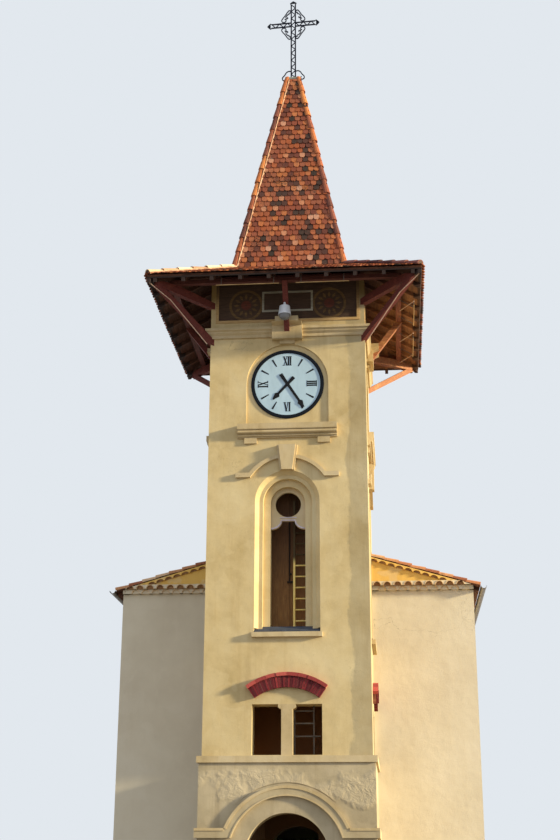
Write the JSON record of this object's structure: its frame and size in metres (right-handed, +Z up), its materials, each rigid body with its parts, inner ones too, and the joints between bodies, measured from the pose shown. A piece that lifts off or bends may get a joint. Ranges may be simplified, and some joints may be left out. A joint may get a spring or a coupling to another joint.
{
  "type": "chapel with a bell tower",
  "caption": "Chapel with a hollow square bell tower under a skirted tiled spire, an arched door that opens, a clock with turning hands and a low gabled nave.",
  "frame": {"origin": "on the tower's axis at ground level", "axes": "+Z up, the tower's front faces -Y, +X to the right seen from the front"},
  "size_m": [9, 16.61, 24.128],
  "materials": {
    "plaster": "matte",
    "trim": "matte",
    "brick": "matte",
    "slate": "satin",
    "tile": "matte",
    "mortar": "matte",
    "timber": "matte",
    "boards": "matte",
    "floor": "matte",
    "iron": "matte",
    "dial": "satin",
    "clock_ring": "satin",
    "hand": "satin",
    "zinc": "satin",
    "lamp": "satin"
  },
  "bodies": {
    "building": {"base_arch_head": "plaster", "base_pier_left": "plaster", "base_pier_right": "plaster", "base_side_walls": "plaster", "base_wall_back": "plaster", "belfry_ladder": "timber", "belfry_screens": "boards", "brick_arches": "brick", "clock_dial": "dial", "clock_ring": "clock_ring", "clock_sills": "trim", "corner_beams": "timber", "cornice_consoles": "trim", "cross": "iron", "dome_lamp": "lamp", "door_pintles": "iron", "door_surround": "trim", "eave_purlins": "timber", "frieze_boards": "boards", "genoise": "tile", "gutters": "zinc", "hip_tiles": "tile", "hood_moulds": "trim", "keystones": "trim", "nave_floor": "floor", "nave_front_left": "plaster", "nave_front_right": "plaster", "nave_rear_wall": "plaster", "nave_ridge_tiles": "tile", "nave_roof_left": "tile", "nave_roof_right": "tile", "nave_side_walls": "plaster", "niche_sills": "trim", "niche_slates": "slate", "porch_floor": "floor", "rafters": "timber", "roof_struts": "timber", "skirt_deck": "timber", "skirt_tiles": "tile", "spire_cap": "mortar", "spire_front_rear": "tile", "spire_sides": "tile", "string_course": "trim", "top_cornice": "trim", "tower_wall_back": "plaster", "tower_wall_front": "plaster", "tower_wall_left": "plaster", "tower_wall_right": "plaster", "tower_wall_window": "plaster", "tracery_panels": "trim", "upper_floors": "floor", "wall_plates": "timber", "window_piers": "trim"},
    "door_left": {"entrance_door_left": "boards"},
    "door_right": {"entrance_door_right": "boards"},
    "minute_hand": {"minute_hand": "hand"},
    "hour_hand": {"hour_hand": "hand"}
  },
  "joints": [
    {"name": "door_left_hinge", "type": "hinge", "parent": "building", "child": "door_left", "pos_m": [-0.905, -1.267, 0.092], "axis": [0, 0, 1], "range_deg": [-70, 20]},
    {"name": "door_right_hinge", "type": "hinge", "parent": "building", "child": "door_right", "pos_m": [0.905, -1.267, 0.092], "axis": [0, 0, -1], "range_deg": [-70, 20]},
    {"name": "minute_turn", "type": "hinge", "parent": "building", "child": "minute_hand", "pos_m": [0, -1.79, 12.33], "axis": [0, 1, 0], "continuous": true},
    {"name": "hour_turn", "type": "hinge", "parent": "building", "child": "hour_hand", "pos_m": [0, -1.78, 12.33], "axis": [0, 1, 0], "continuous": true}
  ],
  "couplings": [
    {"joint": "hour_turn", "follows": "minute_turn", "ratio": 0.083333}
  ]
}
